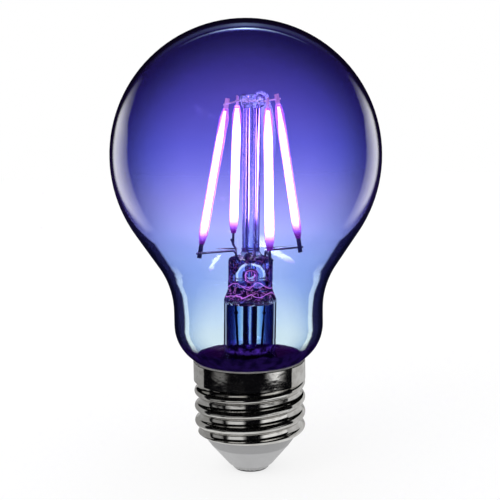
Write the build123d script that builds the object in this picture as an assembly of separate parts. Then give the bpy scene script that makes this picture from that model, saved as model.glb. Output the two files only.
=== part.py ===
from build123d import *
from math import acos, cos, degrees, radians, sin, tan
import os

# A clear tinted LED filament bulb with a screw cap, in millimetres.
# The origin is the middle of the centre contact's face, and +Z runs along the axis to the dome.

# Glass bulb
overall_length = 105.3
bulb_diameter = 62.0
bulb_wall = 0.8
shoulder_angle = 33.6  # between the straight shoulder and the axis
shoulder_radius = 19.5  # hollow curve from the shoulder into the neck
neck_diameter = 34.7
neck_radius = 9.6  # round curve below the neck
tail_diameter = 24.4  # the part of the neck that sits in the cap
tail_radius = 1.5
tail_seat = 1.07  # how far below the cap's rim the tail's curve starts
tail_bottom_z = 22.9

# Screw cap
thread_diameter = 26.15
thread_pitch = 3.629
thread_flank = 62.3  # turn of each thread arc from its crest to its flank
thread_start_z = 6.5  # height of the thread's crest line at +X, below the visible thread
thread_turns = 4.6
root_land = 20.0  # turn of the root arcs that the plain core cuts off
root_cut = 10.0  # turn of the root arcs left out of the swept section
root_depth = 0.5  # how far the swept section reaches into the core
shell_wall = 0.3
shell_bottom_z = 9.0
shell_curl = 1.6  # round lower edge of the shell
shell_mouth = 1.0  # how far the lip under the shell reaches in
skirt_rise = 0.08  # skirt radius over the thread's crest
skirt_bottom_z = 21.9
skirt_shoulder = 0.7
rim_z = 26.8
rim_curl = 0.45  # round upper edge of the skirt
cement_height = 2.4

# Insulator and centre contact
contact_diameter = 8.6
contact_height = 1.35
contact_edge = 0.4
shank_diameter = 3.0
rivet_diameter = 4.6
rivet_height = 0.5
insulator_floor = 1.4
insulator_wall = 1.3
foot_ledge = 1.0  # pale ring left around the contact
band_diameter = 18.8
band_z = 6.2
flange_height = 1.5
flange_gap = 0.25

# Glass stem
flare_diameter = 12.2
flare_wall = 0.8
flare_radius = 5.5  # bell at the flare's foot
seal_gap = 0.05  # between the flare's edge and the tail
flare_top_z = 41.0
pinch_width = 10.3
pinch_depth = 5.0
pinch_corner = 2.2
pinch_bottom_z = 43.8
pinch_top_z = 51.0
pinch_edge = 1.0
hollow_gap = 1.6  # solid glass between the flare's hollow and the pinch
hollow_corner = 0.7
column_diameter = 4.0
column_bore = 1.7
column_foot = 2.2  # curve where the column grows out of the pinch
exhaust_diameter = 3.3  # the same tube below the pinch
tip_z = 18.3
tip_length = 3.0
tip_end_diameter = 1.4
vent_z = 47.1
vent_diameter = 2.2
vent_lip = 0.4
crown_z = 86.8
crown_lump = 3.1  # diameter of each glass lump
crown_spread = 3.0  # between the two lumps
crown_seat = 0.7  # how far the lumps' middles stand over the column's end
mount_lean = 1.5  # degrees that the sealed-in stem leans from the bulb's axis

# Wires
lead_diameter = 0.55
wire_diameter = 0.5
top_wire_diameter = 0.36
wire_gap = 0.04  # between two wires welded side by side
lead_spacing = 6.8  # between the two leads in the pinch
lead_foot_spacing = 5.2  # between the same leads at the driver board
lead_foot_gap = 0.15  # solder under each lead's end
lead_bend_z = 24.8
lead_weld_z = 37.8
weld_diameter = 1.0
lead_top_z = 46.8
arm_rise = 1.6  # height of the support arms over the pinch
arm_bend = 1.1
wire_overhang = 1.0  # free end past each weld
top_wire_spread = 1.5  # between the two top wires in the crown
top_wire_bend = 0.7

# Filaments
foot_ring_radius = 12.3
head_ring_radius = 6.1
tab_reach = 1.2  # tab end past the wire it is welded to
foot_tab_length = 3.2
head_tab_length = 2.4
tab_width = 1.0
tab_thickness = 0.25
weld_gap = 0.03
filament_diameter = 2.1
filament_end_diameter = 1.2
filament_taper = 2.2
left_lift = -0.6  # how far each head sits over the crown's middle
front_lift = -0.2
right_lift = 0.3
back_lift = -0.3
# azimuth of each filament's foot and head
filaments = {
    "left": {"foot": 200, "head": 200, "lift": left_lift},
    "front": {"foot": 290, "head": 304, "lift": front_lift},
    "right": {"foot": 20, "head": 20, "lift": right_lift},
    "back": {"foot": 110, "head": 124, "lift": back_lift},
}

# Driver in the cap
board_thickness = 1.0
board_gap = 0.6
rectifier_size = (4.7, 3.9, 2.4)
rectifier_place = (-4.4, 4.6)
chip_size = (4.9, 3.9, 1.6)
chip_place = (-3.6, -4.8)
capacitor_diameter = 6.3
capacitor_height = 7.0
capacitor_place = (3.2, 5.6)
resistor_diameter = 2.3
resistor_length = 6.0
resistor_place = (4.2, -4.6)
neutral_wire_height = 2.6
neutral_wire_inset = 1.2
neutral_wire_gap = 0.2

# Values that follow
dome_radius = bulb_diameter / 2
dome_z = overall_length - dome_radius
neck_r = neck_diameter / 2
tail_r = tail_diameter / 2
thread_arc = thread_pitch / (4 * sin(radians(thread_flank)))
crest_r = thread_diameter / 2
root_r = crest_r - 2 * thread_arc * (1 - cos(radians(thread_flank)))
skirt_r = crest_r + skirt_rise
lip_r = root_r + thread_arc - shell_curl
board_z = shell_bottom_z + shell_wall + flange_height
board_top_z = board_z + board_thickness
arm_z = pinch_top_z + arm_rise
mount_seat = Pos(0, 0, tail_bottom_z + flare_wall / 2)
mount = mount_seat * Rot(0, mount_lean, 0) * mount_seat.inverse()


def polar(radius, azimuth, height):
    return Vector(radius * cos(radians(azimuth)), radius * sin(radians(azimuth)), height)


def turned(*edges):
    return revolve(Plane.XZ * make_face(edges), Axis.Z)


def turned_points(*points):
    return turned(Polyline(*points, close=True))


def upright(radius, bottom, top):
    return Pos(0, 0, bottom) * Cylinder(radius, top - bottom, align=(Align.CENTER, Align.CENTER, Align.MIN))


def wire(diameter, path):
    return sweep(Plane(path @ 0, z_dir=path % 0) * Circle(diameter / 2), path)


def weld_offset(diameter):
    return (tab_thickness + diameter) / 2 + weld_gap


def bulb_outline(inset):
    # From the dome's top to the end of the tail, parallel to the outer face.
    angle = radians(shoulder_angle)
    hollow_r = neck_r + shoulder_radius
    shoulder_top = Vector(dome_radius * cos(angle), dome_z - dome_radius * sin(angle))
    shoulder_foot_r = hollow_r - shoulder_radius * cos(angle)
    shoulder_foot_z = shoulder_top.Y - (shoulder_top.X - shoulder_foot_r) / tan(angle)
    hollow_z = shoulder_foot_z - shoulder_radius * sin(angle)
    round_r = neck_r - neck_radius
    draw_in = acos((tail_r + tail_radius - round_r) / (neck_radius + tail_radius))
    tail_z = rim_z - tail_seat
    neck_bottom_z = tail_z + (neck_radius + tail_radius) * sin(draw_in)
    turn = degrees(draw_in)
    dome = CenterArc((0, dome_z), dome_radius - inset, 90, -90 - shoulder_angle)
    hollow = CenterArc((hollow_r, hollow_z), shoulder_radius + inset, 180 - shoulder_angle, shoulder_angle)
    belly = CenterArc((round_r, neck_bottom_z), neck_radius - inset, 0, -turn)
    tail = CenterArc((tail_r + tail_radius, tail_z), tail_radius + inset, 180 - turn, turn)
    end = (tail_r - inset, tail_bottom_z)
    shoulder = Line(dome @ 1, hollow @ 0)
    neck = Line(hollow @ 1, belly @ 0)
    return [dome, shoulder, hollow, neck, belly, tail, Line(tail @ 1, end)]


def glass_bulb():
    outer = bulb_outline(0)
    inner = bulb_outline(bulb_wall)
    return turned(*outer, *inner, Line(outer[0] @ 0, inner[0] @ 0), Line(outer[-1] @ 1, inner[-1] @ 1))


def thread_body(inset):
    # Solid inside the formed thread: a core, with one ridge swept along the helix.
    crest_middle = (crest_r - thread_arc, 0)
    crest_arc = thread_arc - inset
    crest = [CenterArc(crest_middle, crest_arc, start, thread_flank) for start in (-thread_flank, 0)]
    cut = root_cut - thread_flank
    upper = CenterArc((root_r + thread_arc, thread_pitch / 2), thread_arc + inset, 180 + thread_flank, cut)
    lower = CenterArc((root_r + thread_arc, -thread_pitch / 2), thread_arc + inset, 180 - thread_flank, -cut)
    base_r = root_r - inset - root_depth
    base = Polyline(upper @ 1, (base_r, (upper @ 1).Y), (base_r, (lower @ 1).Y), lower @ 1)
    path = Helix(thread_pitch, thread_pitch * thread_turns, crest_r)
    ridge = sweep(Plane.XZ * make_face([*crest, upper, lower, *base.edges()]), path, is_frenet=True)
    core_r = root_r + thread_arc - (thread_arc + inset) * cos(radians(root_land))
    core = upright(core_r, thread_start_z - thread_pitch, skirt_bottom_z)
    return Pos(0, 0, thread_start_z) * ridge + core


def cap_bound(inset):
    # Plain outline of the cap: curled lower edge, room for the thread, then the skirt.
    bottom = shell_bottom_z + inset
    room_r = skirt_r + shell_curl
    curl = CenterArc((lip_r, shell_bottom_z + shell_curl), shell_curl - inset, -90, 90)
    return turned(
        Line((0, bottom), curl @ 0),
        curl,
        Polyline(curl @ 1, (room_r, skirt_bottom_z), (room_r, rim_z), (0, rim_z), (0, bottom)),
    )


def skirt_body(inset):
    foot_z = skirt_bottom_z - skirt_shoulder
    curl = CenterArc((skirt_r - rim_curl, rim_z - rim_curl), rim_curl - inset, 0, 90)
    return turned(
        Polyline((0, foot_z), (root_r - inset, foot_z), (skirt_r - inset, skirt_bottom_z), curl @ 0),
        curl,
        Polyline(curl @ 1, (0, rim_z - inset), (0, foot_z)),
    )


def screw_shell():
    outer = (thread_body(0) + skirt_body(0)) & cap_bound(0)
    inner = (thread_body(shell_wall) + skirt_body(shell_wall)) & cap_bound(shell_wall)
    mouth = upright(lip_r - shell_mouth, shell_bottom_z, shell_bottom_z + shell_wall)
    throat = upright(skirt_r - rim_curl, rim_z - shell_wall, rim_z)
    return outer - inner - mouth - throat


def basing_cement():
    top = tail_bottom_z + cement_height
    return upright(skirt_r - shell_wall, tail_bottom_z, top) - upright(tail_r, tail_bottom_z, top)


def insulator():
    mouth_r = lip_r - shell_mouth
    lip_top = shell_bottom_z + shell_wall
    flange_r = lip_r - flange_gap
    contact_r = contact_diameter / 2
    floor_top = contact_height + insulator_floor
    hole_r = shank_diameter / 2
    return turned_points(
        (hole_r, contact_height),
        (contact_r + foot_ledge, contact_height),
        (band_diameter / 2, band_z),
        (lip_r, shell_bottom_z),
        (mouth_r, shell_bottom_z),
        (mouth_r, lip_top),
        (flange_r, lip_top),
        (flange_r, board_z),
        (mouth_r - insulator_wall, board_z),
        (mouth_r - insulator_wall, shell_bottom_z),
        (contact_r - insulator_wall / 2, floor_top),
        (hole_r, floor_top),
    )


def centre_contact():
    shank_r = shank_diameter / 2
    rivet_bottom = contact_height + insulator_floor
    face = upright(contact_diameter / 2, 0, contact_height)
    face = chamfer(face.edges().sort_by(Axis.Z)[0], contact_edge)
    shank = upright(shank_r, contact_height, rivet_bottom)
    return face + shank + upright(rivet_diameter / 2, rivet_bottom, rivet_bottom + rivet_height)


def lead_path(side):
    foot = side * lead_foot_spacing / 2
    top = side * lead_spacing / 2
    foot_z = board_top_z + lead_foot_gap
    return Polyline((foot, 0, foot_z), (foot, 0, lead_bend_z), (top, 0, flare_top_z), (top, 0, lead_top_z))


def lead_in(side):
    bead_share = (lead_weld_z - lead_bend_z) / (flare_top_z - lead_bend_z)
    bead_x = side * (lead_foot_spacing + (lead_spacing - lead_foot_spacing) * bead_share) / 2
    path = lead_path(side)
    rod = sweep(Pos(path @ 0) * Circle(lead_diameter / 2), path, transition=Transition.ROUND)
    return rod + Pos(bead_x, 0, lead_weld_z) * Sphere(weld_diameter / 2)


def radial(azimuth):
    return polar(1, azimuth, 0)


def sideways(azimuth):
    return polar(1, azimuth + 90, 0)


def foot_point(name):
    return polar(foot_ring_radius, filaments[name]["foot"], arm_z)


def head_point(name):
    return polar(head_ring_radius, filaments[name]["head"], crown_z + filaments[name]["lift"])


def support_arm(name, side, row):
    foot = foot_point(name)
    azimuth = filaments[name]["foot"]
    base = Vector(side * lead_spacing / 2, row * (wire_diameter + wire_gap) / 2, lead_top_z)
    end = foot + sideways(azimuth) * weld_offset(wire_diameter)
    corner = Vector(base.X, base.Y, arm_z)
    tip = end + (end - corner).normalized() * wire_overhang
    return wire(wire_diameter, FilletPolyline(base, corner, tip, radius=arm_bend))


def top_wire(first, second, row):
    # From one filament's head through the crown to the next one's.
    y = row * top_wire_spread / 2
    x = (crown_spread + crown_lump) / 2
    ends = []
    for name, side in ((first, -1), (second, 1)):
        inner = Vector(side * x, y, crown_z)
        head = head_point(name) + sideways(filaments[name]["head"]) * weld_offset(top_wire_diameter)
        ends.append((inner, head + (head - inner).normalized() * wire_overhang))
    (inner_a, tip_a), (inner_b, tip_b) = ends
    return wire(top_wire_diameter, FilletPolyline(tip_a, inner_a, inner_b, tip_b, radius=top_wire_bend))


def filament_frame(name):
    foot = foot_point(name)
    head = head_point(name)
    along = (head - foot).normalized()
    return Plane(foot - along * tab_reach, x_dir=radial(filaments[name]["foot"]), z_dir=along)


def filament_length(name):
    return (head_point(name) - foot_point(name)).length + 2 * tab_reach


def tab(name, start, length):
    strip = Box(tab_width, tab_thickness, length, align=(Align.CENTER, Align.CENTER, Align.MIN))
    return filament_frame(name) * Pos(0, 0, start) * strip


def foot_tab(name):
    return tab(name, 0, foot_tab_length)


def head_tab(name):
    return tab(name, filament_length(name) - head_tab_length, head_tab_length)


def filament(name):
    low = foot_tab_length
    high = filament_length(name) - head_tab_length
    r = filament_diameter / 2
    end_r = filament_end_diameter / 2
    foot_end = ((0, low), (end_r, low), (r, low + filament_taper))
    head_end = ((r, high - filament_taper), (end_r, high), (0, high))
    return filament_frame(name) * turned_points(*foot_end, *head_end)


def pinch():
    foot = Pos(0, 0, flare_top_z) * Circle(flare_diameter / 2)
    press = RectangleRounded(pinch_width, pinch_depth, pinch_corner)
    shoulder = loft([foot, Pos(0, 0, pinch_bottom_z) * press])
    block = Pos(0, 0, pinch_bottom_z) * extrude(press, pinch_top_z - pinch_bottom_z)
    block = fillet(block.edges().group_by(Axis.Z)[-1], pinch_edge)
    lip = Torus(vent_diameter / 2 + vent_lip / 2, vent_lip)
    return shoulder + block + Pos(0, -pinch_depth / 2, vent_z) * Rot(90, 0, 0) * lip


def flare():
    r = flare_diameter / 2
    seal_r = tail_r - bulb_wall - seal_gap
    bell_r = r + flare_radius
    turn = degrees(acos((bell_r - seal_r) / flare_radius))
    bell_z = tail_bottom_z + flare_wall + flare_radius * sin(radians(turn))
    outer = CenterArc((bell_r, bell_z), flare_radius, 180, turn)
    inner_turn = degrees(acos((bell_r - seal_r) / (flare_radius + flare_wall)))
    inner = CenterArc((bell_r, bell_z), flare_radius + flare_wall, 180, inner_turn)
    return turned(
        outer,
        inner,
        Line(outer @ 1, inner @ 1),
        Polyline(outer @ 0, (r, flare_top_z), (r - flare_wall, flare_top_z), inner @ 0),
    )


def column():
    r = column_diameter / 2
    foot = CenterArc((r + column_foot, pinch_top_z + column_foot), column_foot, 180, 90)
    tip_r = tip_end_diameter / 2
    tube_r = exhaust_diameter / 2
    top_z = crown_z - crown_seat
    tip = ((0, tip_z), (tip_r, tip_z), (tube_r, tip_z + tip_length))
    return turned(
        Polyline(*tip, (tube_r, pinch_bottom_z), foot @ 1),
        foot,
        Polyline(foot @ 0, (r, top_z), (0, top_z), (0, tip_z)),
    )


def crown():
    lump = Sphere(crown_lump / 2)
    lumps = Pos(-crown_spread / 2, 0, crown_z) * lump + Pos(crown_spread / 2, 0, crown_z) * lump
    return lumps + Pos(0, 0, crown_z) * lump


def stem_hollow():
    r = flare_diameter / 2 - flare_wall
    foot = Pos(0, 0, flare_top_z) * Circle(r)
    roof = RectangleRounded(pinch_width - 2 * hollow_gap, pinch_depth - 2 * hollow_gap, hollow_corner)
    return loft([foot, Pos(0, 0, pinch_bottom_z - hollow_gap) * roof])


def glass_stem(wires):
    bore = upright(column_bore / 2, tip_z + tip_length, crown_z - crown_lump / 2)
    vent = Pos(0, -pinch_depth / 2, vent_z) * Rot(90, 0, 0) * Cylinder(vent_diameter / 2, pinch_depth)
    glass = pinch() - stem_hollow() + flare() + column() + crown() - bore - vent
    for solid in wires:
        glass -= solid
    return glass


def driver_board():
    return upright(lip_r - flange_gap - board_gap, board_z, board_top_z)


def on_board(place, shape):
    return Pos(place[0], place[1], board_top_z) * shape


def chip_body(size, place):
    return on_board(place, Box(*size, align=(Align.CENTER, Align.CENTER, Align.MIN)))


def capacitor():
    can = Cylinder(capacitor_diameter / 2, capacitor_height, align=(Align.CENTER, Align.CENTER, Align.MIN))
    return on_board(capacitor_place, can)


def fuse_resistor():
    r = resistor_diameter / 2
    return on_board(resistor_place, Pos(0, 0, r) * Rot(0, 90, 0) * Cylinder(r, resistor_length))


def live_wire():
    return upright(wire_diameter / 2, contact_height + insulator_floor + rivet_height, board_z)


def neutral_wire():
    y = lip_r - flange_gap - board_gap - neutral_wire_inset
    top = board_top_z + neutral_wire_height
    end = root_r - shell_wall - neutral_wire_gap
    path = FilletPolyline((0, y, board_top_z), (0, y, top), (0, end, top), radius=wire_diameter)
    return wire(wire_diameter, path)


nodes = {
    "lead_in_left": lead_in(-1),
    "lead_in_right": lead_in(1),
    "arm_left": support_arm("left", -1, -1),
    "arm_back": support_arm("back", -1, 1),
    "arm_front": support_arm("front", 1, -1),
    "arm_right": support_arm("right", 1, 1),
    "top_wire_front": top_wire("left", "front", -1),
    "top_wire_back": top_wire("back", "right", 1),
}
nodes["glass_stem"] = glass_stem(list(nodes.values()))
for name in filaments:
    nodes[f"filament_{name}"] = filament(name)
    nodes[f"foot_tab_{name}"] = foot_tab(name)
    nodes[f"head_tab_{name}"] = head_tab(name)
nodes = {name: mount * shape for name, shape in nodes.items()}
nodes["glass_bulb"] = glass_bulb()
nodes["screw_shell"] = screw_shell()
nodes["insulator"] = insulator()
nodes["centre_contact"] = centre_contact()
nodes["basing_cement"] = basing_cement()
nodes["driver_board"] = driver_board()
nodes["rectifier"] = chip_body(rectifier_size, rectifier_place)
nodes["driver_chip"] = chip_body(chip_size, chip_place)
nodes["capacitor"] = capacitor()
nodes["fuse_resistor"] = fuse_resistor()
nodes["live_wire"] = live_wire()
nodes["neutral_wire"] = neutral_wire()

os.makedirs("parts", exist_ok=True)
for name, shape in nodes.items():
    export_step(shape, f"parts/{name}.step")
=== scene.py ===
import math

import bmesh
import bpy
from mathutils import Matrix, Vector


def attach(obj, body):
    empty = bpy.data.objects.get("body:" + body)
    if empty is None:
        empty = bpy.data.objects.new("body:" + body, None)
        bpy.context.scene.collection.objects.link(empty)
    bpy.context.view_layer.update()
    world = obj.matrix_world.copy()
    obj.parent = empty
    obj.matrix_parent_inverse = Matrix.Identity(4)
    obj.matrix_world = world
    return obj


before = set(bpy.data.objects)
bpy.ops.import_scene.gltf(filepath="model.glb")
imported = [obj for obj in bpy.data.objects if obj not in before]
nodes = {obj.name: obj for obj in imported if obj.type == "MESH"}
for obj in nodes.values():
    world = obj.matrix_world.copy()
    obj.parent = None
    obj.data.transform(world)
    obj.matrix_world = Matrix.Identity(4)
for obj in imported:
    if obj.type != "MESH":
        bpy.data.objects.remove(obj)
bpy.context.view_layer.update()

mm = 0.001
noLight = (0, 0, 0, 1)
fullLight = (1, 1, 1, 1)


# Small helpers for node trees

def shade(red, green, blue, gain=1.0):  # screen colour 0 to 255 as a linear colour
    linear = []
    for part in (red, green, blue):
        part = part / 255
        linear.append(gain * (part / 12.92 if part < 0.04045 else ((part + 0.055) / 1.055) ** 2.4))
    return (*linear, 1.0)


def addNode(tree, kind, inputs=None, **settings):
    node = tree.nodes.new(kind)
    for name, value in settings.items():
        setattr(node, name, value)
    for name, value in (inputs or {}).items():
        if isinstance(value, bpy.types.NodeSocket):
            tree.links.new(value, node.inputs[name])
        else:
            node.inputs[name].default_value = value
    return node


def addMath(tree, operation, first, second=0.0):
    return addNode(tree, "ShaderNodeMath", {0: first, 1: second}, operation=operation).outputs[0]


def addProduct(tree, first, *others):
    for other in others:
        first = addMath(tree, "MULTIPLY", first, other)
    return first


def addRange(tree, value, low, high, toLow=0.0, toHigh=1.0, smooth=True):
    kind = "SMOOTHSTEP" if smooth else "LINEAR"
    ends = {"Value": value, "From Min": low, "From Max": high, "To Min": toLow, "To Max": toHigh}
    return addNode(tree, "ShaderNodeMapRange", ends, interpolation_type=kind).outputs["Result"]


def addBand(tree, value, low, high, soft):  # 1 between low and high
    rising = addRange(tree, value, low - soft, low + soft)
    return addProduct(tree, rising, addRange(tree, value, high + soft, high - soft))


def addRamp(tree, factor, stops):
    node = addNode(tree, "ShaderNodeValToRGB", {"Fac": factor})
    elements = node.color_ramp.elements
    elements.remove(elements[1])
    elements[0].position, elements[0].color = stops[0]
    for place, colour in stops[1:]:
        elements.new(place).color = colour
    return node.outputs["Color"]


def addGreyRamp(tree, factor, pairs):  # a ramp of plain numbers
    return addRamp(tree, factor, [(place, (value, value, value, 1)) for place, value in pairs])


def addMix(tree, factor, first, second, blend="MIX"):
    node = addNode(tree, "ShaderNodeMix", data_type="RGBA", blend_type=blend)
    for socket, value in ((0, factor), (6, first), (7, second)):
        if isinstance(value, bpy.types.NodeSocket):
            tree.links.new(value, node.inputs[socket])
        else:
            node.inputs[socket].default_value = value
    return node.outputs[2]


def addTones(tree, factor, first, second):  # between two screen colours
    return addMix(tree, factor, shade(*first), shade(*second))


def newGroup(name, inputs, outputs):
    group = bpy.data.node_groups.new(name, "ShaderNodeTree")
    for label, value in inputs.items():
        socket = group.interface.new_socket(label, in_out="INPUT", socket_type="NodeSocketFloat")
        socket.default_value = value
    for label in outputs:
        group.interface.new_socket(label, in_out="OUTPUT", socket_type="NodeSocketFloat")
    return group, group.nodes.new("NodeGroupInput"), group.nodes.new("NodeGroupOutput")


def useGroup(tree, group, **values):
    node = addNode(tree, "ShaderNodeGroup")
    node.node_tree = group
    for label, value in values.items():
        node.inputs[label].default_value = value
    return node.outputs


def newMaterial(name, **sockets):
    material = bpy.data.materials.new(name)
    material.use_nodes = True
    tree = material.node_tree
    shader = tree.nodes["Principled BSDF"]
    for label, value in sockets.items():
        shader.inputs[label.replace("_", " ")].default_value = value
    return material, tree, shader


def bareMaterial(name):
    material = bpy.data.materials.new(name)
    material.use_nodes = True
    material.node_tree.nodes.clear()
    return material, material.node_tree


finePits = (0.2, 0.03 * mm)  # strength and depth of a bump
coarsePits = (0.3, 0.05 * mm)


def addBump(tree, shader, height, strength, depth):
    values = {"Height": height, "Strength": strength, "Distance": depth}
    bump = addNode(tree, "ShaderNodeBump", values)
    tree.links.new(bump.outputs["Normal"], shader.inputs["Normal"])


def addPiece(name, mesh):  # a bmesh as a new object
    data = bpy.data.meshes.new(name)
    mesh.to_mesh(data)
    mesh.free()
    piece = bpy.data.objects.new(name, data)
    bpy.context.scene.collection.objects.link(piece)
    return piece


# Shared effects

def heightFadeGroup():  # 0 below Low, 1 above High, along the bulb's axis
    group, entry, leave = newGroup("heightFade", {"Low": 0.0, "High": 0.1}, ("Fade",))
    place = addNode(group, "ShaderNodeTexCoord")
    split = addNode(group, "ShaderNodeSeparateXYZ", {"Vector": place.outputs["Object"]})
    fade = addRange(group, split.outputs["Z"], entry.outputs["Low"], entry.outputs["High"], smooth=False)
    group.links.new(fade, leave.inputs["Fade"])
    return group


grainLook = {
    "detail": 4.0, "roughness": 0.6,
    "broad": 0.12, "broadDetail": 2.0,  # the cloud's scale, as a share of the grain's
    "spread": (0.3, 0.7),
}


def fineGrainGroup():  # even speckle and a broad cloud, both from 0 to 1
    spec = grainLook
    group, entry, leave = newGroup("fineGrain", {"Scale": 1000.0, "Stretch": 1.0}, ("Grain", "Cloud"))
    place = addNode(group, "ShaderNodeTexCoord").outputs["Object"]
    stretch = addNode(group, "ShaderNodeCombineXYZ", {"X": 1.0, "Y": 1.0, "Z": entry.outputs["Stretch"]})
    factors = {0: place, 1: stretch.outputs["Vector"]}
    scaled = addNode(group, "ShaderNodeVectorMath", factors, operation="MULTIPLY").outputs[0]
    broad = addProduct(group, entry.outputs["Scale"], spec["broad"])
    fine = {"Vector": scaled, "Scale": entry.outputs["Scale"]}
    fine.update({"Detail": spec["detail"], "Roughness": spec["roughness"]})
    wide = {"Vector": scaled, "Scale": broad, "Detail": spec["broadDetail"]}
    for label, look in (("Grain", fine), ("Cloud", wide)):
        noise = addNode(group, "ShaderNodeTexNoise", look).outputs["Fac"]
        group.links.new(addRange(group, noise, *spec["spread"]), leave.inputs[label])
    return group


heightFade = heightFadeGroup()
fineGrain = fineGrainGroup()
print("shared effects made")


def fadeBetween(tree, low, high):  # a low above the high fades downwards
    return useGroup(tree, heightFade, Low=low, High=high)["Fade"]


# Glass

bulbGlass = {
    "low": 30 * mm, "high": 100 * mm,  # the tint deepens from the neck to the dome
    "seen": [  # colour through both walls, by share of that height
        (0.00, (208, 231, 253)), (0.14, (174, 200, 248)), (0.22, (157, 184, 245)), (0.34, (172, 188, 247)),
        (0.45, (160, 160, 242)), (0.64, (96, 98, 212)), (0.80, (77, 71, 174)), (0.93, (64, 55, 144)),
        (1.00, (60, 51, 134)),
    ],
    "clear": 0.80,  # share of light that two untinted walls let through
    "glow": [  # violet light of the filaments, caught in the walls
        (0.00, (0.006, 0.0004, 0.013, 1)), (0.012, (0.006, 0.0004, 0.013, 1)),
        (0.025, (0.003, 0.003, 0.020, 1)), (0.12, (0.005, 0.007, 0.030, 1)),
        (0.25, (0.014, 0.016, 0.085, 1)), (0.34, (0.028, 0.026, 0.115, 1)),
        (0.45, (0.011, 0.006, 0.042, 1)), (0.70, (0.003, 0.001, 0.012, 1)),
        (1.00, (0.002, 0.001, 0.006, 1)),
    ],
    "edge": [  # how the tint deepens where a wall is seen on the slant: partly the longer path through tinted glass, partly painted shade at the edges
        (0.00, (1, 1, 1, 1)), (0.12, (0.97, 0.98, 0.98, 1)), (0.28, (0.64, 0.71, 0.77, 1)),
        (0.46, (0.38, 0.45, 0.46, 1)), (0.56, (0.28, 0.30, 0.40, 1)), (0.62, (0.26, 0.25, 0.36, 1)),
        (0.73, (0.50, 0.46, 0.52, 1)), (0.85, (0.55, 0.50, 0.50, 1)), (0.94, (0.10, 0.08, 0.12, 1)),
    ],
    "neckEdge": [
        (0.00, (1, 1, 1, 1)), (0.18, (1, 1, 1, 1)), (0.40, (0.46, 0.58, 0.86, 1)),
        (1.00, (0.4, 0.5, 0.8, 1)),
    ],
    "domeLow": 54 * mm, "domeHigh": 68 * mm,  # from the neck's edge to the dome's
    "bandLow": 30 * mm, "bandHigh": 66 * mm,  # painted shade where the thick wall of the neck is seen edge on
    "bandShade": (0.0008, 0.0007, 0.007, 1), "bandGlow": (0.003, 0.003, 0.014, 1), "bandSoft": 0.02,
    "bandEdge": [  # how far on the slant the band starts, by share of that height
        (0.03, 0.56), (0.08, 0.51), (0.22, 0.49), (0.39, 0.55), (0.47, 0.62), (0.75, 0.63),
        (0.83, 0.71), (0.94, 0.78),
    ],
    "stripLow": 48 * mm, "stripHigh": 52 * mm, "stripWidth": 0.065,  # a painted highlight line inside the band
    "stripHighlight": (0.96, 1, 1, 1), "stripGlow": (0.07, 0.11, 0.12, 1),
    "footLow": 30.2 * mm, "footHigh": 31.4 * mm,  # painted shade, dark over the cement
    "footShade": (0.0006, 0.0001, 0.003, 1),
    "footGlow": [(0.002, 0.0008, 0.012, 1), (0.011, 0.004, 0.052, 1)],  # uneven, from filament light
    "footGrain": 4000.0, "footUneven": 0.25, "footSoft": (0.35, 0.65),
    "sideLow": 31.0 * mm, "sideHigh": 33.0 * mm, "sideSlant": (-0.26, -0.08),  # the painted shade climbs at the sides
}


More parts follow.
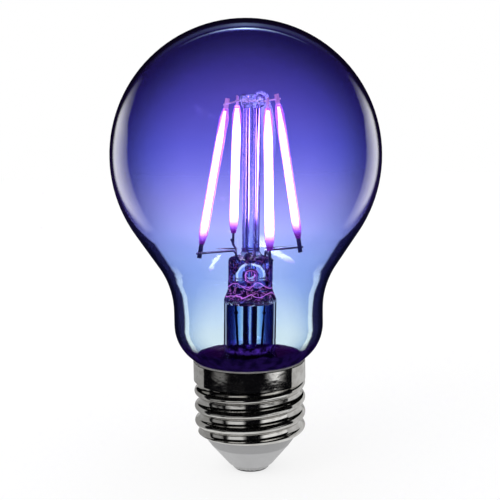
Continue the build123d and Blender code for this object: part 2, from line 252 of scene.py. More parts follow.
def tintedGlass():
    spec = bulbGlass
    material, tree, shader = newMaterial("tintedGlass", Roughness=0.0, IOR=1.5, Transmission_Weight=1.0,
                                         Emission_Strength=1.0)
    fade = fadeBetween(tree, spec["low"], spec["high"])
    stops = []
    for share, colour in spec["seen"]:
        oneWall = [min(1.0, math.sqrt(part / spec["clear"])) for part in shade(*colour)[:3]]
        stops.append((share, (*oneWall, 1.0)))
    tint = addRamp(tree, fade, stops)
    slant = addNode(tree, "ShaderNodeLayerWeight", {"Blend": 0.5}).outputs["Facing"]
    path = addNode(tree, "ShaderNodeLightPath")
    outside = addMath(tree, "LESS_THAN", path.outputs["Transmission Depth"], 0.5)  # the outer face only
    behind = addMath(tree, "GREATER_THAN", path.outputs["Transmission Depth"], 1.5)
    # the neck is thicker than the dome, so its edge shows a broad dark band with a light line inside it; here
    # both are painted, as painted shade and a painted highlight
    rise = fadeBetween(tree, spec["domeLow"], spec["domeHigh"])
    neckEdge = addMix(tree, outside, fullLight, addRamp(tree, slant, spec["neckEdge"]))
    edge = addMix(tree, rise, neckEdge, addRamp(tree, slant, spec["edge"]))
    share = fadeBetween(tree, spec["bandLow"], spec["bandHigh"])
    past = addMath(tree, "SUBTRACT", slant, addGreyRamp(tree, share, spec["bandEdge"]))
    soft, width = spec["bandSoft"], spec["stripWidth"]
    band = addProduct(tree, addRange(tree, past, -soft, soft), outside)
    lower = fadeBetween(tree, spec["stripHigh"], spec["stripLow"])
    strip = addProduct(tree, addRange(tree, past, -width - soft, -width), lower, outside)
    body = addMix(tree, 1.0, tint, edge, "MULTIPLY")
    body = addMix(tree, strip, body, spec["stripHighlight"])
    body = addMix(tree, band, body, spec["bandShade"])
    # painted shade on the foot over the cement
    climb = fadeBetween(tree, spec["sideHigh"], spec["sideLow"])
    side = addProduct(tree, addRange(tree, past, *spec["sideSlant"]), outside, climb)
    cloud = useGroup(tree, fineGrain, Scale=spec["footGrain"])["Cloud"]
    uneven = addRange(tree, cloud, 0.0, 1.0, -spec["footUneven"], spec["footUneven"], smooth=False)
    foot = addMath(tree, "ADD", fadeBetween(tree, spec["footHigh"], spec["footLow"]), uneven)
    foot = addProduct(tree, addRange(tree, foot, *spec["footSoft"]), outside)
    foot = addMath(tree, "MAXIMUM", foot, side)
    tree.links.new(addMix(tree, foot, body, spec["footShade"]), shader.inputs["Base Color"])
    # filament light, which the neck shows behind the stem only
    glow = addMix(tree, addMath(tree, "MAXIMUM", behind, rise), noLight, addRamp(tree, fade, spec["glow"]))
    inner = addProduct(tree, strip, addMath(tree, "SUBTRACT", 1.0, band))
    glow = addMix(tree, inner, glow, spec["stripGlow"])
    neckBand = addProduct(tree, band, addMath(tree, "SUBTRACT", 1.0, rise))
    glow = addMix(tree, neckBand, glow, spec["bandGlow"])
    glow = addMix(tree, foot, glow, addMix(tree, cloud, *spec["footGlow"]))
    tree.links.new(glow, shader.inputs["Emission Color"])
    return material


stemGlass = {
    "wall": [  # the wall's tint seen straight on, darkening to painted shade on the slant
        (0.00, (1, 1, 1, 1)), (0.30, (0.80, 0.84, 0.98, 1)), (0.55, (0.25, 0.22, 0.60, 1)),
        (0.85, (0.04, 0.03, 0.14, 1)),
    ],
    "rootLow": 52 * mm, "rootHigh": 66 * mm,
    "root": [  # the column's lower end
        (0.00, (0.80, 0.88, 1, 1)), (0.12, (0.40, 0.42, 0.90, 1)), (0.30, (0.06, 0.05, 0.36, 1)),
        (0.60, (0.01, 0.01, 0.08, 1)),
    ],
    "crownLow": 85.2 * mm, "crownHigh": 85.6 * mm,
    "crown": [  # the lumps on top
        (0.00, (1, 1, 1, 1)), (0.16, (1, 1, 1, 1)), (0.28, (0.62, 0.60, 0.90, 1)),
        (0.46, (0.10, 0.07, 0.30, 1)), (0.75, (0.01, 0.01, 0.05, 1)),
    ],
    "crownScale": 8000.0, "crownHeight": 0.16,  # as a share of lumpHeight
    "leanFoot": 26 * mm, "lean": math.tan(math.radians(1.5)),  # the stem stands a little askew
    "flareInside": 5.6 * mm, "tubeOutside": 2.3 * mm, "flareTop": 41.5 * mm, "flareSoft": 0.5 * mm,
    "flare": [  # the inner face of the flare
        (0.00, (0.85, 0.97, 1, 1)), (0.06, (0.60, 0.85, 1, 1)), (0.12, (0.20, 0.48, 0.98, 1)),
        (0.18, (0.03, 0.13, 0.62, 1)), (0.26, (0.004, 0.010, 0.10, 1)), (0.34, (0.001, 0.001, 0.02, 1)),
    ],
    "tube": [  # the exhaust tube
        (0.00, (0.90, 0.97, 1, 1)), (0.03, (0.70, 0.80, 1, 1)), (0.07, (0.10, 0.14, 0.50, 1)),
        (0.15, (0.01, 0.01, 0.09, 1)), (0.30, (0.002, 0.001, 0.02, 1)),
    ],
    "bellLow": 26 * mm, "bellHigh": 30 * mm, "bell": (0.06, 0.01, 0.16, 1),  # painted shade on the foot, over the dark cement
    "pinchLow": 40.6 * mm, "pinchHigh": 51.5 * mm, "pinchSoft": (0.6 * mm, 1 * mm),
    "pinch": [  # melted glass, darkened with painted shade, most on the slant
        (0.00, (0.08, 0.10, 0.48, 1)), (0.04, (0.03, 0.03, 0.24, 1)), (0.11, (0.008, 0.006, 0.09, 1)),
        (0.25, (0.003, 0.001, 0.025, 1)),
    ],
    "pinchBack": (0.85, 0.90, 1, 1),
    "frontDepth": 0.3 * mm, "eyeDepth": 1.9 * mm,  # the folds are on the front and on the vent's floor
    "lumpScale": 2300.0, "lumpStretch": 0.7, "lumpHeight": 1.5 * mm, "wobble": 0.3,
    "eye": (0.6 * mm, 47.1 * mm),  # the vent, from which the lines below are set out in mm
    "eyeRim": (1.15, 1.4, 0.1), "rimBreak": (-0.2, 0.12, 0.2, 1.0),
    "lobe": (1.8, 3.25, 0.12), "lobeFoot": (-0.7, -0.2),  # two clear lenses round the vent
    "lobeGap": (-0.8, 0.3, 0.25), "gapShare": 0.15,  # a fold parts them
    "lobeTurn": (2.4, 3.1), "lobeBlue": (0.30, 0.46, 1, 1), "lobeWhite": (1, 1, 1, 1),
    "smile": (-0.6, 0.6, 3.1), "smileLine": (0.05, 0.08), "smileTop": (-1.9, -2.3),  # a fold under the vent
    "waves": [(-2.5, 0.75, 1.19, 1.4), (-4.6, 0.3, 1.6, 0.0)],  # folds: height, swing, pace, start
    "waveLine": (0.06, 0.09), "waveTurn": 2.0,
    "veinScale": 5200.0, "veinStretch": 1.3, "veinWidth": (0.14, 0.03),  # where the lumps meet
    "veinTop": (-1.6, -2.6, 0.10, 0.30), "veinFoot": (-5.6, -5.0), "veinEye": (1.1, 0.6),
    "flash": (242, 130, 230), "flashStrength": 1.35,  # filament light caught in the melted glass
    "spark": (112, 64, 220), "sparkFrom": 0.45, "sparkShare": 0.17,  # painted soft patches of filament light at the flare's foot
    "sparkLow": 28.9 * mm, "sparkHigh": 30.3 * mm, "sparkSoft": 0.4 * mm,
    "glint": (225, 238, 255),  # studio light on the lenses, the crown and the flare's sides
    "lobeShine": (2.7, 3.1, 0.2), "shineShare": 0.45,
    "crownGlint": (0.55, 0.8, 0.0, 0.5),
    "edgeLine": (0.58, 0.68, 0.03), "edgeLow": 30.5 * mm, "edgeShare": 0.4,
}


def distanceFrom(tree, across, rise, x, z):
    left = addMath(tree, "SUBTRACT", across, x)
    over = addMath(tree, "SUBTRACT", rise, z)
    offset = addNode(tree, "ShaderNodeCombineXYZ", {"X": left, "Y": over}).outputs[0]
    return addNode(tree, "ShaderNodeVectorMath", {0: offset}, operation="LENGTH").outputs["Value"]


def meltedFolds(tree, across, rise, eye, wobble):  # lines of filament light in the pinch
    spec = stemGlass
    lines = addProduct(tree, addBand(tree, eye, *spec["eyeRim"]), addRange(tree, wobble, *spec["rimBreak"]))
    x, z, radius = spec["smile"]
    half, soft = spec["smileLine"]
    smile = addBand(tree, distanceFrom(tree, across, rise, x, z), radius - half, radius + half, soft)
    smile = addProduct(tree, smile, addRange(tree, rise, *spec["smileTop"]))
    lines = addMath(tree, "MAXIMUM", lines, smile)
    half, soft = spec["waveLine"]
    for height, swing, pace, begin in spec["waves"]:
        turn = addProduct(tree, addMath(tree, "SUBTRACT", across, begin), pace)
        turn = addMath(tree, "ADD", turn, addProduct(tree, wobble, spec["waveTurn"]))
        level = addMath(tree, "ADD", addProduct(tree, addMath(tree, "COSINE", turn), swing), height)
        gap = addMath(tree, "ADD", addMath(tree, "SUBTRACT", rise, level), wobble)
        lines = addMath(tree, "MAXIMUM", lines, addBand(tree, gap, -half, half, soft))
    return lines


def clearGlass():
    spec = stemGlass
    material, tree, shader = newMaterial("clearGlass", Roughness=0.0, IOR=1.52, Transmission_Weight=1.0,
                                         Emission_Strength=spec["flashStrength"])
    place = addNode(tree, "ShaderNodeTexCoord").outputs["Object"]
    x, y, z = addNode(tree, "ShaderNodeSeparateXYZ", {"Vector": place}).outputs
    askew = addProduct(tree, addMath(tree, "SUBTRACT", z, spec["leanFoot"]), spec["lean"])
    upright = addMath(tree, "SUBTRACT", x, askew)
    flat = addNode(tree, "ShaderNodeCombineXYZ", {"X": upright, "Y": y}).outputs[0]
    radius = addNode(tree, "ShaderNodeVectorMath", {0: flat}, operation="LENGTH").outputs["Value"]
    eyeX, eyeZ = spec["eye"]
    across = addMath(tree, "DIVIDE", addMath(tree, "SUBTRACT", x, eyeX), mm)
    rise = addMath(tree, "DIVIDE", addMath(tree, "SUBTRACT", z, eyeZ), mm)
    # where each kind of glass starts and ends
    lowSoft, highSoft = spec["pinchSoft"]
    low = fadeBetween(tree, spec["pinchLow"], spec["pinchLow"] + lowSoft)
    high = fadeBetween(tree, spec["pinchHigh"] + highSoft, spec["pinchHigh"])
    melted = addProduct(tree, low, high)
    crown = fadeBetween(tree, spec["crownLow"], spec["crownHigh"])
    root = fadeBetween(tree, spec["rootHigh"], spec["rootLow"])
    below = fadeBetween(tree, spec["flareTop"] + spec["flareSoft"], spec["flareTop"])
    inFlare = addProduct(tree, addMath(tree, "LESS_THAN", radius, spec["flareInside"]), below)
    inTube = addProduct(tree, addMath(tree, "LESS_THAN", radius, spec["tubeOutside"]), below)
    bell = fadeBetween(tree, spec["bellLow"], spec["bellHigh"])
    # lumps in the pinch and the crown, smooth where the pinch is clear
    swirl = useGroup(tree, fineGrain, Scale=spec["veinScale"], Stretch=spec["veinStretch"])["Cloud"]
    lump = useGroup(tree, fineGrain, Scale=spec["lumpScale"], Stretch=spec["lumpStretch"])["Cloud"]
    wobble = addRange(tree, lump, 0.0, 1.0, -spec["wobble"], spec["wobble"], smooth=False)
    eye = addMath(tree, "ADD", distanceFrom(tree, across, rise, 0.0, 0.0), wobble)
    lobe = addProduct(tree, addBand(tree, eye, *spec["lobe"]), addRange(tree, rise, *spec["lobeFoot"]))
    parted = addBand(tree, across, *spec["lobeGap"])
    lobe = addProduct(tree, lobe, addRange(tree, parted, 0.0, 1.0, 1.0, spec["gapShare"]))
    front = addMath(tree, "LESS_THAN", y, spec["frontDepth"])
    inEye = addMath(tree, "LESS_THAN", eye, spec["eyeRim"][0])
    bottom = addProduct(tree, addMath(tree, "LESS_THAN", y, spec["eyeDepth"]), inEye)
    front = addProduct(tree, melted, addMath(tree, "MAXIMUM", front, bottom))
    rough = addProduct(tree, front, addMath(tree, "SUBTRACT", 1.0, lobe))
    bead = useGroup(tree, fineGrain, Scale=spec["crownScale"])["Cloud"]
    sparkle = addProduct(tree, addRange(tree, bead, *spec["crownGlint"]), crown)
    bead = addProduct(tree, bead, crown, spec["crownHeight"])
    lumps = addMath(tree, "ADD", addProduct(tree, lump, rough), bead)
    addBump(tree, shader, lumps, 1.0, spec["lumpHeight"])
    bumped = shader.inputs["Normal"].links[0].from_socket
    slant = addNode(tree, "ShaderNodeLayerWeight", {"Blend": 0.5, "Normal": bumped}).outputs["Facing"]
    # colour, one kind of glass over the other; the darkening of each on the slant is painted shade
    colour = addMix(tree, root, addRamp(tree, slant, spec["wall"]), addRamp(tree, slant, spec["root"]))
    for mask, look in ((below, "wall"), (crown, "crown"), (inFlare, "flare"), (inTube, "tube")):
        colour = addMix(tree, mask, colour, addRamp(tree, slant, spec[look]))
    colour = addMix(tree, melted, colour, spec["pinchBack"])
    colour = addMix(tree, front, colour, addRamp(tree, slant, spec["pinch"]))
    lens = addMix(tree, addRange(tree, eye, *spec["lobeTurn"]), spec["lobeBlue"], spec["lobeWhite"])
    lensFront = addProduct(tree, lobe, front)
    colour = addMix(tree, lensFront, colour, lens)
    # painted shade on the bell's foot over the dark cement
    colour = addMix(tree, bell, spec["bell"], colour)
    tree.links.new(colour, shader.inputs["Base Color"])
    # filament light along the folds, and fainter where the lumps meet
    vein = addMath(tree, "ABSOLUTE", addMath(tree, "SUBTRACT", swirl, 0.5))
    vein = addRange(tree, vein, *spec["veinWidth"])
    lower = addProduct(tree, addRange(tree, rise, *spec["veinTop"]), addRange(tree, rise, *spec["veinFoot"]))
    middle = addRange(tree, eye, *spec["veinEye"])
    faint = addProduct(tree, vein, addMath(tree, "MAXIMUM", lower, middle))
    lit = addMath(tree, "MAXIMUM", meltedFolds(tree, across, rise, eye, wobble), faint)
    glow = addMix(tree, addProduct(tree, lit, rough), noLight, shade(*spec["flash"]))
    spark = addBand(tree, z, spec["sparkLow"], spec["sparkHigh"], spec["sparkSoft"])
    spark = addProduct(tree, spark, addRange(tree, swirl, spec["sparkFrom"], 1.0, 0.0, spec["sparkShare"]))
    glow = addMix(tree, spark, glow, shade(*spec["spark"]))
    # studio light
    shine = addProduct(tree, addBand(tree, eye, *spec["lobeShine"]), lensFront, spec["shineShare"])
    side = addProduct(tree, below, addMath(tree, "GREATER_THAN", radius, spec["flareInside"]))
    side = addProduct(tree, side, addMath(tree, "GREATER_THAN", z, spec["edgeLow"]))
    side = addProduct(tree, side, addBand(tree, slant, *spec["edgeLine"]), spec["edgeShare"])
    glint = addMath(tree, "MAXIMUM", addMath(tree, "MAXIMUM", shine, sparkle), side)
    tree.links.new(addMix(tree, glint, glow, shade(*spec["glint"])), shader.inputs["Emission Color"])
    return material


# Filaments

filamentLight = {
    "core": [(255, 242, 255), (250, 225, 255)], "coreBody": (240, 230, 250), "coreStrength": 12.0,
    "coreGrain": 1500.0,
    "dim": (0.012, 0.001, 0.016, 1), "dimFade": 3.0,  # the core's foot, as a share of its strength
    "coat": (185, 95, 250), "coatStrength": 1.4,
    "coatBody": [(214, 150, 250), (236, 190, 255)], "coatGrain": 2600.0,
    "foot": (150, 20, 150), "footGain": 0.15, "footBody": (120, 30, 130),  # the unlit foot of the coat
    "low": 55.2 * mm, "high": 58.6 * mm,
    "mirrorLow": 68 * mm, "mirrorHigh": 74 * mm,  # only the lower ends show in the bulb's glass
    "mirrorFrom": 15 * mm, "mirrorReach": 30 * mm,  # and only over this distance
    "mirrorGlow": (13, 12, 13, 1), "mirrorFoot": (3.0, 0.7, 2.4, 1),
}


def filamentCoat():
    spec = filamentLight
    material, tree, shader = newMaterial("filamentCoat", Roughness=0.25, IOR=1.42, Transmission_Weight=0.9,
                                         Emission_Strength=spec["coatStrength"])
    grain = useGroup(tree, fineGrain, Scale=spec["coatGrain"])["Grain"]
    fade = fadeBetween(tree, spec["low"], spec["high"])
    colour = addMix(tree, fade, shade(*spec["footBody"]), addTones(tree, grain, *spec["coatBody"]))
    glow = addMix(tree, fade, shade(*spec["foot"], gain=spec["footGain"]), shade(*spec["coat"]))
    # the lower wall shows the lower ends as two light streaks; other reflections would cross the picture
    path = addNode(tree, "ShaderNodeLightPath")
    distance = path.outputs["Ray Length"]
    mirrored = addMath(tree, "GREATER_THAN", path.outputs["Glossy Depth"], 0.5)
    mirrored = addProduct(tree, mirrored, addMath(tree, "GREATER_THAN", distance, spec["mirrorFrom"]))
    near = addMath(tree, "LESS_THAN", distance, spec["mirrorReach"])
    lower = fadeBetween(tree, spec["mirrorHigh"], spec["mirrorLow"])
    streak = addMix(tree, fade, spec["mirrorFoot"], spec["mirrorGlow"])
    streak = addMix(tree, addProduct(tree, near, lower), noLight, streak)
    tree.links.new(addMix(tree, mirrored, colour, noLight), shader.inputs["Base Color"])
    tree.links.new(addMix(tree, mirrored, glow, streak), shader.inputs["Emission Color"])
    addBump(tree, shader, grain, *finePits)
    return material


def litCore():
    spec = filamentLight
    material, tree, shader = newMaterial("litCore", Base_Color=shade(*spec["coreBody"]), Roughness=0.5,
                                         Emission_Strength=spec["coreStrength"])
    cloud = useGroup(tree, fineGrain, Scale=spec["coreGrain"])["Cloud"]
    fade = fadeBetween(tree, spec["low"], spec["high"])
    fade = addMath(tree, "POWER", fade, spec["dimFade"])
    glow = addMix(tree, fade, spec["dim"], addTones(tree, cloud, *spec["core"]))
    tree.links.new(glow, shader.inputs["Emission Color"])
    return material


# Cap, contact and wires

capPlate = {
    "dull": (204, 202, 198), "bright": (226, 225, 222), "grain": 2400.0, "stretch": 1.6,
    "speck": (150, 149, 147), "speckGrain": 5200.0, "speckRange": (0.86, 0.98), "speckDent": 0.04,
    "rough": (0.05, 0.11), "dents": (0.5, 0.04 * mm),
    "rim": 26.45 * mm, "rimEnd": 26.7 * mm,  # the cut edge round the glass is matt
    "rimMetal": 0.45, "rimRough": 0.35,
}


def nickelPlate():
    spec = capPlate
    material, tree, shader = newMaterial("nickelPlate")
    grain = useGroup(tree, fineGrain, Scale=spec["grain"], Stretch=spec["stretch"])
    specks = useGroup(tree, fineGrain, Scale=spec["speckGrain"])["Grain"]
    base = addTones(tree, grain["Cloud"], spec["dull"], spec["bright"])
    base = addMix(tree, addRange(tree, specks, *spec["speckRange"]), base, shade(*spec["speck"]))
    tree.links.new(base, shader.inputs["Base Color"])
    rim = fadeBetween(tree, spec["rim"], spec["rimEnd"])
    metal = addRange(tree, rim, 0.0, 1.0, 1.0, spec["rimMetal"], smooth=False)
    tree.links.new(metal, shader.inputs["Metallic"])
    rough = addRange(tree, grain["Grain"], 0.0, 1.0, *spec["rough"], smooth=False)
    rough = addMath(tree, "ADD", rough, addProduct(tree, rim, spec["rimRough"]))
    tree.links.new(rough, shader.inputs["Roughness"])
    dents = addMath(tree, "ADD", grain["Cloud"], addProduct(tree, specks, spec["speckDent"]))
    addBump(tree, shader, dents, *spec["dents"])
    return material


plasticCone = {
    "light": (173, 173, 174), "mottle": 0.93, "grain": 1800.0, "rough": (0.35, 0.5), "pits": (0.1, 0.03 * mm),
    "shadow": (147, 147, 148), "band": 6.15 * mm, "bandEnd": 6.35 * mm,  # under the cap's lip
}


def palePlastic():
    spec = plasticCone
    material, tree, shader = newMaterial("palePlastic", IOR=1.5)
    grain = useGroup(tree, fineGrain, Scale=spec["grain"])
    base = addMix(tree, grain["Cloud"], shade(*spec["light"], gain=spec["mottle"]), shade(*spec["light"]))
    band = fadeBetween(tree, spec["band"], spec["bandEnd"])
    tree.links.new(addMix(tree, band, base, shade(*spec["shadow"])), shader.inputs["Base Color"])
    rough = addRange(tree, grain["Grain"], 0.0, 1.0, *spec["rough"], smooth=False)
    tree.links.new(rough, shader.inputs["Roughness"])
    addBump(tree, shader, grain["Grain"], *spec["pits"])
    return material


contactSpec = {
    "tin": (184, 184, 184), "worn": (78, 78, 80),
    "grain": 1500.0, "rough": (0.35, 0.55), "pits": (0.5, 0.12 * mm),
    "edge": 0.55 * mm, "edgeEnd": 0.25 * mm,  # worn towards the lower face
    "wear": 0.7, "wearRange": (0.65, 1.0), "metal": (0.45, 0.9),
}


def contactMetal():
    spec = contactSpec
    material, tree, shader = newMaterial("contactMetal")
    grain = useGroup(tree, fineGrain, Scale=spec["grain"])["Grain"]
    low = fadeBetween(tree, spec["edge"], spec["edgeEnd"])
    worn = addMath(tree, "ADD", low, addProduct(tree, grain, spec["wear"]))
    worn = addRange(tree, worn, *spec["wearRange"])
    tree.links.new(addTones(tree, worn, spec["tin"], spec["worn"]), shader.inputs["Base Color"])
    tree.links.new(addRange(tree, worn, 0.0, 1.0, *spec["metal"]), shader.inputs["Metallic"])
    rough = addRange(tree, grain, 0.0, 1.0, *spec["rough"], smooth=False)
    tree.links.new(rough, shader.inputs["Roughness"])
    addBump(tree, shader, grain, *spec["pits"])
    return material


def litMetal(name, dark, light, glow, strength, scale, dimmer=0.5):  # painted glow of filament light, on metal next to the lit filaments
    material, tree, shader = newMaterial(name, Metallic=0.6, Roughness=0.4, Emission_Strength=strength)
    grain = useGroup(tree, fineGrain, Scale=scale)
    tree.links.new(addTones(tree, grain["Grain"], dark, light), shader.inputs["Base Color"])
    paintedGlow = addMix(tree, grain["Cloud"], shade(*glow), shade(*glow, gain=dimmer))
    tree.links.new(paintedGlow, shader.inputs["Emission Color"])
    addBump(tree, shader, grain["Grain"], *finePits)
    return material


def plainMetal(name, dark, light, least, most, scale):
    material, tree, shader = newMaterial(name, Metallic=1.0)
    grain = useGroup(tree, fineGrain, Scale=scale)["Grain"]
    tree.links.new(addTones(tree, grain, dark, light), shader.inputs["Base Color"])
    rough = addRange(tree, grain, 0.0, 1.0, least, most, smooth=False)
    tree.links.new(rough, shader.inputs["Roughness"])
    addBump(tree, shader, grain, *finePits)
    return material


def plainSolid(name, dark, light, rough, scale):
    material, tree, shader = newMaterial(name, Roughness=rough)
    grain = useGroup(tree, fineGrain, Scale=scale)
    tree.links.new(addTones(tree, grain["Cloud"], dark, light), shader.inputs["Base Color"])
    addBump(tree, shader, grain["Grain"], *coarsePits)
    return material


finishes = {  # the plain ones by dark and light tone, roughness or light, and grain scale
    "glass_bulb": tintedGlass(),
    "glass_stem": clearGlass(),
    "screw_shell": nickelPlate(),
    "insulator": palePlastic(),
    "centre_contact": contactMetal(),
    # the cement and the board are dark; their violet is painted filament light
    "basing_cement": plainSolid("darkCement", (44, 5, 56), (66, 12, 92), 0.7, 900.0),
    "driver_board": plainSolid("boardLaminate", (44, 5, 56), (66, 12, 92), 0.5, 900.0),
    "rectifier": plainSolid("blackResin", (8, 8, 10), (16, 16, 18), 0.45, 1200.0),
    "capacitor": plainMetal("capacitorCan", (70, 60, 96), (96, 84, 120), 0.25, 0.4, 1500.0),
    "fuse_resistor": plainSolid("resistorCoat", (30, 30, 60), (44, 40, 80), 0.5, 1500.0),
    "live_wire": plainMetal("tinnedWire", (120, 118, 124), (160, 158, 164), 0.25, 0.4, 3000.0),
    "lead_in": plainMetal("copperWire", (88, 70, 76), (130, 104, 104), 0.3, 0.45, 3000.0),
    "arm": plainMetal("nickelWire", (96, 90, 112), (140, 134, 150), 0.25, 0.4, 3000.0),
    "top_wire": litMetal("litWire", (190, 180, 200), (225, 215, 235), (255, 200, 205), 1.5, 3000.0),
    "foot_tab": plainMetal("tabMetal", (90, 84, 100), (136, 128, 144), 0.3, 0.45, 3000.0),
    "head_tab": litMetal("litTab", (190, 175, 200), (225, 210, 235), (255, 180, 200), 1.6, 3000.0),
    "filament": filamentCoat(),
}
families = {  # nodes that share a finish with another
    "driver_chip": "rectifier", "neutral_wire": "live_wire",
    "lead_in_": "lead_in", "arm_": "arm", "top_wire_": "top_wire",
    "foot_tab_": "foot_tab", "head_tab_": "head_tab", "filament_": "filament",
}


def dressNode(name, piece):
    finish = finishes.get(name)
    for start, family in families.items():
        if name.startswith(start):
            finish = finishes[family]
    piece.data.materials.clear()
    piece.data.materials.append(finish)


for name, piece in nodes.items():
    dressNode(name, piece)
print("nodes dressed:", len(nodes))


# Lit cores inside the filament coats

coreShape = {
    "width": 1.5 * mm, "thickness": 0.9 * mm, "sides": 16,
    "footGap": 0.6 * mm, "footTaper": 1.4 * mm, "footShare": 0.5,
    "headGap": 0.5 * mm, "headTaper": 6.0 * mm, "headShare": 0.4,
    "endSlice": 0.6 * mm,  # how much of a coat counts as its end
}


def axisOf(piece):  # the two ends of a slim straight node
    points = [vertex.co for vertex in piece.data.vertices]
    low = min(point.z for point in points)
    high = max(point.z for point in points)
    ends = []
    for level in (low, high):
        near = [point for point in points if abs(point.z - level) < coreShape["endSlice"]]
        ends.append(sum(near, Vector()) / len(near))
    return ends


def litCorePiece(name):
    spec = coreShape
    foot, head = axisOf(nodes[name])
    along = (head - foot).normalized()
    start = foot + along * spec["footGap"]
    length = (head - foot).length - spec["footGap"] - spec["headGap"]
    turn = along.to_track_quat("Z", "Y").to_matrix().to_4x4()
    place = Matrix.Translation(start) @ turn @ Matrix.Diagonal((1, spec["thickness"] / spec["width"], 1, 1))
    mesh = bmesh.new()
    footRadius = spec["width"] / 2 * spec["footShare"]
    bmesh.ops.create_circle(mesh, cap_ends=True, segments=spec["sides"], radius=footRadius)
    rises = (spec["footTaper"], length - spec["footTaper"] - spec["headTaper"], spec["headTaper"])
    grows = (1 / spec["footShare"], 1.0, spec["headShare"])
    lid = list(mesh.faces)
    for rise, grow in zip(rises, grows):
        grown = bmesh.ops.extrude_face_region(mesh, geom=lid)
        top = [item for item in grown["geom"] if isinstance(item, bmesh.types.BMVert)]
        lid = [item for item in grown["geom"] if isinstance(item, bmesh.types.BMFace)]
        bmesh.ops.translate(mesh, verts=top, vec=(0, 0, rise))
        bmesh.ops.scale(mesh, verts=top, vec=(grow, grow, 1))
    bmesh.ops.recalc_face_normals(mesh, faces=mesh.faces)
    bmesh.ops.transform(mesh, matrix=place, verts=mesh.verts)
    return addPiece(name + "_core", mesh)


coreGlow = litCore()
for name in [name for name in nodes if name.startswith("filament_")]:
    core = litCorePiece(name)
    core.data.materials.append(coreGlow)
    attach(core, "root")
print("filament cores made")


# Floor, studio and camera

studio = {
    "floorSize": 1.2, "floorGlow": 0.72, "floorShade": 0.28,
    "roomLight": 1.0,
    "keyPower": 1.2, "keySize": 0.5, "keyPlace": (-0.45, -0.5, 0.6), "keyAim": (0, 0, 0.05),
    "bounces": {"max_bounces": 32, "transmission_bounces": 28, "glossy_bounces": 12},  # for glass in glass
}


def paleFloor():
    mesh = bmesh.new()
    bmesh.ops.create_grid(mesh, x_segments=1, y_segments=1, size=studio["floorSize"] / 2)
    floor = addPiece("paleFloor", mesh)
    material, tree = bareMaterial("paleFloor")
    matt = addNode(tree, "ShaderNodeBsdfDiffuse", {"Color": (studio["floorShade"],) * 3 + (1,)})
    glow = addNode(tree, "ShaderNodeEmission", {"Strength": studio["floorGlow"]})
    both = addNode(tree, "ShaderNodeAddShader", {0: matt.outputs[0], 1: glow.outputs[0]})
    path = addNode(tree, "ShaderNodeLightPath")
    mirrored = addMath(tree, "GREATER_THAN", path.outputs["Glossy Depth"], 0.5)  # cards stand for it there
    clear = addNode(tree, "ShaderNodeBsdfTransparent")
    seen = addNode(tree, "ShaderNodeMixShader", {0: mirrored, 1: both.outputs[0], 2: clear.outputs[0]})
    addNode(tree, "ShaderNodeOutputMaterial", {"Surface": seen.outputs[0]})
    floor.data.materials.append(material)


topStrip = {
    "line": (0.69, 0.72, 0.01), "field": (0.77, 0.85, 0.02),  # from, to and softness, along the room
    "lineFall": [  # light by distance to either side
        (0.00, 1.0), (0.05, 0.75), (0.10, 0.36), (0.15, 0.28), (0.22, 0.09), (0.33, 0.03), (0.40, 0.0),
    ],
    "fieldFall": [(0.00, 0.07), (0.06, 0.05), (0.10, 0.03), (0.20, 0.015), (0.36, 0.005), (0.45, 0.0)],
    "overhead": (0.1, 0.3),
    "colour": (6.0, 8.0, 12.0, 1), "dark": (0.002, 0.002, 0.003, 1),
}


def studioWorld():
    world = bpy.data.worlds.new("studio")
    world.use_nodes = True
    bpy.context.scene.world = world
    tree = world.node_tree
    tree.nodes.clear()
    path = addNode(tree, "ShaderNodeLightPath")
    aim = addNode(tree, "ShaderNodeTexCoord").outputs["Generated"]
    x, y, z = addNode(tree, "ShaderNodeSeparateXYZ", {"Vector": aim}).outputs
    side = addMath(tree, "ABSOLUTE", x)
    # blue strip over the top: a bright line and a fainter field behind it
    spec = topStrip
    line = addProduct(tree, addBand(tree, y, *spec["line"]), addGreyRamp(tree, side, spec["lineFall"]))
    field = addProduct(tree, addBand(tree, y, *spec["field"]), addGreyRamp(tree, side, spec["fieldFall"]))
    strip = addProduct(tree, addMath(tree, "ADD", line, field), addRange(tree, z, *spec["overhead"]))
    studioLight = addMix(tree, strip, spec["dark"], spec["colour"])
    polished = addMath(tree, "GREATER_THAN", path.outputs["Glossy Depth"], 0.5)  # seen in a reflection
    light = addMix(tree, polished, fullLight, studioLight)
    back = addNode(tree, "ShaderNodeBackground", {"Color": light, "Strength": studio["roomLight"]})
    addNode(tree, "ShaderNodeOutputWorld", {"Surface": back.outputs[0]})


sideBox = {  # the soft light at each side: its edges by height, as shares of the card
    "inner": [
        (0.00, 0.18), (0.14, 0.15), (0.25, 0.11), (0.36, 0.08), (0.47, 0.08), (0.59, 0.11), (0.66, 0.14),
        (0.70, 0.18), (0.75, 0.26), (0.80, 0.31), (0.85, 0.38), (0.90, 0.51), (0.96, 0.62),
    ],
    "outer": [
        (0.00, 0.52), (0.18, 0.54), (0.25, 0.58), (0.32, 0.66), (0.38, 0.74), (0.45, 0.80), (0.64, 0.85),
        (0.73, 0.94), (1.00, 0.97),
    ],
    "outerSoft": (-0.02, 0.28),
    "width": 65.0, "depth": 20.0,  # mm, the card's width, and from its inner edge to the full light
    "rise": [(0.00, 0.0), (0.15, 0.45), (0.30, 0.58), (0.50, 0.78), (0.90, 1.0)],  # light over that depth
    "fade": [  # light by height
        (0.13, 0.0), (0.18, 0.35), (0.25, 0.7), (0.34, 1.0), (0.70, 1.0), (0.76, 0.75), (0.82, 0.42),
        (0.87, 0.22), (0.94, 0.08), (0.98, 0.0),
    ],
}
anyReach = 1000
reachSoft = 0.15  # share of its reach over which a card fades out
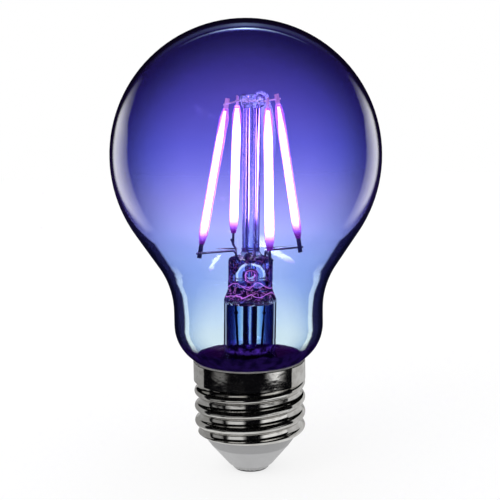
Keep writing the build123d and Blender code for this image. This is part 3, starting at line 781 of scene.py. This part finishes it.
# place, width and height in mm, turn about the upright, tip, strength, reach in mm, soft border
# a strength of 0 is a black shade, and the last value of a box moves its inner edge, in mm
studioCards = {
    "boxLeft": ((-60, 22.5, 65), (65, 110), 90, 0, 2.5, anyReach, 0.0),
    "boxRight": ((60, 22.5, 65), (65, 110), 90, 0, 2.5, anyReach, 4.0),
    "lowCardLeft": ((-43, -30, 14.5), (42, 6), -59, 0, 0.19, anyReach, 0.4),
    "lowCardRight": ((41, -34, 14.2), (52, 6), 51, 0, 1.1, anyReach, 0.5),
    "threadSideLeft": ((-49, -17, -6), (31, 26), -73, 0, 0.3, anyReach, 0.2),
    "threadSideRight": ((50, -17, -6), (30, 26), 73, 0, 0.9, anyReach, 0.2),
    "threadCardLeft": ((-30, -52, -6), (50, 26), -30, 0, 0.7, anyReach, 0.22),
    "threadCardRight": ((40, -44, -6), (54, 26), 45, 0, 1.0, anyReach, 0.25),
    "lowCardBack": ((0, 30, 7), (50, 34), 0, 0, 0.45, anyReach, 0.02),
    "lowCardBackLeft": ((-25, 13.2, 7), (33.7, 34), 90, 0, 0.35, anyReach, 0.02),
    "lowCardBackRight": ((25, 11.3, 7), (37.5, 34), 90, 0, 0.6, anyReach, 0.02),
    "tableCard": ((0, 0, 0.2), (80, 80), 0, 90, 0.75, 24, 0.02),
    "neckShade": ((0, 0, 27), (140, 140), 0, 90, 0.0, anyReach, 0.02),
    "streakCardLeft": ((-12.5, -21.7, 30), (9, 12), -30, 90, 0.3, 20, 0.2),
    "streakCardRight": ((16, -19, 30), (9, 12), 40, 90, 0.2, 20, 0.2),
}


def borderFade(tree, value, soft):
    inward = addMath(tree, "MINIMUM", value, addMath(tree, "SUBTRACT", 1.0, value))
    return addRange(tree, inward, 0.0, soft)


def boxLight(tree, across, up, inset):  # brightness of a side light
    spec = sideBox
    inner = addGreyRamp(tree, up, spec["inner"])
    past = addMath(tree, "SUBTRACT", addMath(tree, "SUBTRACT", across, inner), inset / spec["width"])
    light = addGreyRamp(tree, addProduct(tree, past, spec["width"] / spec["depth"]), spec["rise"])
    light = addProduct(tree, light, addGreyRamp(tree, up, spec["fade"]))
    left = addMath(tree, "SUBTRACT", addGreyRamp(tree, up, spec["outer"]), across)
    return addProduct(tree, light, addRange(tree, left, *spec["outerSoft"]))


def cardWhite(name, strength, reach, soft):  # white in near reflections, clear to everything else
    material, tree = bareMaterial(name)
    material.cycles.emission_sampling = "NONE"
    path = addNode(tree, "ShaderNodeLightPath")
    place = addNode(tree, "ShaderNodeTexCoord").outputs["UV"]
    split = addNode(tree, "ShaderNodeSeparateXYZ", {"Vector": place}).outputs
    across, up = split["X"], split["Y"]
    if name.startswith("box"):
        cover = boxLight(tree, across, up, soft)
    else:
        cover = addProduct(tree, borderFade(tree, across, soft), borderFade(tree, up, soft))
    mirrored = addMath(tree, "GREATER_THAN", path.outputs["Glossy Depth"], 0.5)
    outside = addMath(tree, "LESS_THAN", path.outputs["Transmission Depth"], 0.5)
    near = addRange(tree, path.outputs["Ray Length"], reach * (1 + reachSoft), reach * (1 - reachSoft))
    cover = addProduct(tree, cover, addProduct(tree, mirrored, outside, near))
    clear = addNode(tree, "ShaderNodeBsdfTransparent")
    white = addNode(tree, "ShaderNodeEmission", {"Strength": strength})
    both = addNode(tree, "ShaderNodeMixShader", {0: cover, 1: clear.outputs[0], 2: white.outputs[0]})
    addNode(tree, "ShaderNodeOutputMaterial", {"Surface": both.outputs[0]})
    return material


def reflectorCards():
    for name, (place, size, turn, tip, strength, reach, soft) in studioCards.items():
        mesh = bmesh.new()
        mesh.loops.layers.uv.new("card")
        bmesh.ops.create_grid(mesh, x_segments=1, y_segments=1, size=mm / 2, calc_uvs=True)  # scaled below
        stand = Matrix.Rotation(math.radians(turn), 4, "Z") @ Matrix.Rotation(math.radians(90 - tip), 4, "X")
        stand = Matrix.Translation([part * mm for part in place]) @ stand @ Matrix.Diagonal((*size, 1, 1))
        bmesh.ops.transform(mesh, matrix=stand, verts=mesh.verts)
        card = addPiece(name, mesh)
        card.data.materials.append(cardWhite(name, strength, reach * mm, soft))
        card.visible_camera = False
        card.visible_diffuse = False
        card.visible_shadow = False


def keyLamp():
    lamp = bpy.data.lights.new("key", "AREA")
    lamp.energy = studio["keyPower"]
    lamp.size = studio["keySize"]
    body = bpy.data.objects.new("key", lamp)
    body.location = studio["keyPlace"]
    aim = Vector(studio["keyAim"]) - body.location
    body.rotation_euler = aim.to_track_quat("-Z", "Y").to_euler()
    body.visible_camera = False
    body.visible_glossy = False
    body.visible_transmission = False
    bpy.context.scene.collection.objects.link(body)


cameraSpec = {
    "place": (0.6 * mm, -280 * mm, 101.8 * mm), "down": 10.0, "roll": -0.95,
    "lens": 88.4, "sensor": 36.0, "near": 10 * mm,
}


def photoCamera():
    lens = bpy.data.cameras.new("camera")
    lens.lens = cameraSpec["lens"]
    lens.sensor_width = cameraSpec["sensor"]
    lens.clip_start = cameraSpec["near"]
    body = bpy.data.objects.new("camera", lens)
    tilt = Matrix.Rotation(math.radians(90 - cameraSpec["down"]), 4, "X")
    roll = Matrix.Rotation(math.radians(cameraSpec["roll"]), 4, "Z")
    body.matrix_world = Matrix.Translation(cameraSpec["place"]) @ tilt @ roll
    bpy.context.scene.collection.objects.link(body)
    bpy.context.scene.camera = body


paleFloor()
studioWorld()
reflectorCards()
keyLamp()
photoCamera()
scene = bpy.context.scene
scene.view_settings.view_transform = "Standard"
for kind, count in studio["bounces"].items():
    setattr(scene.cycles, kind, count)
print("studio and camera set")
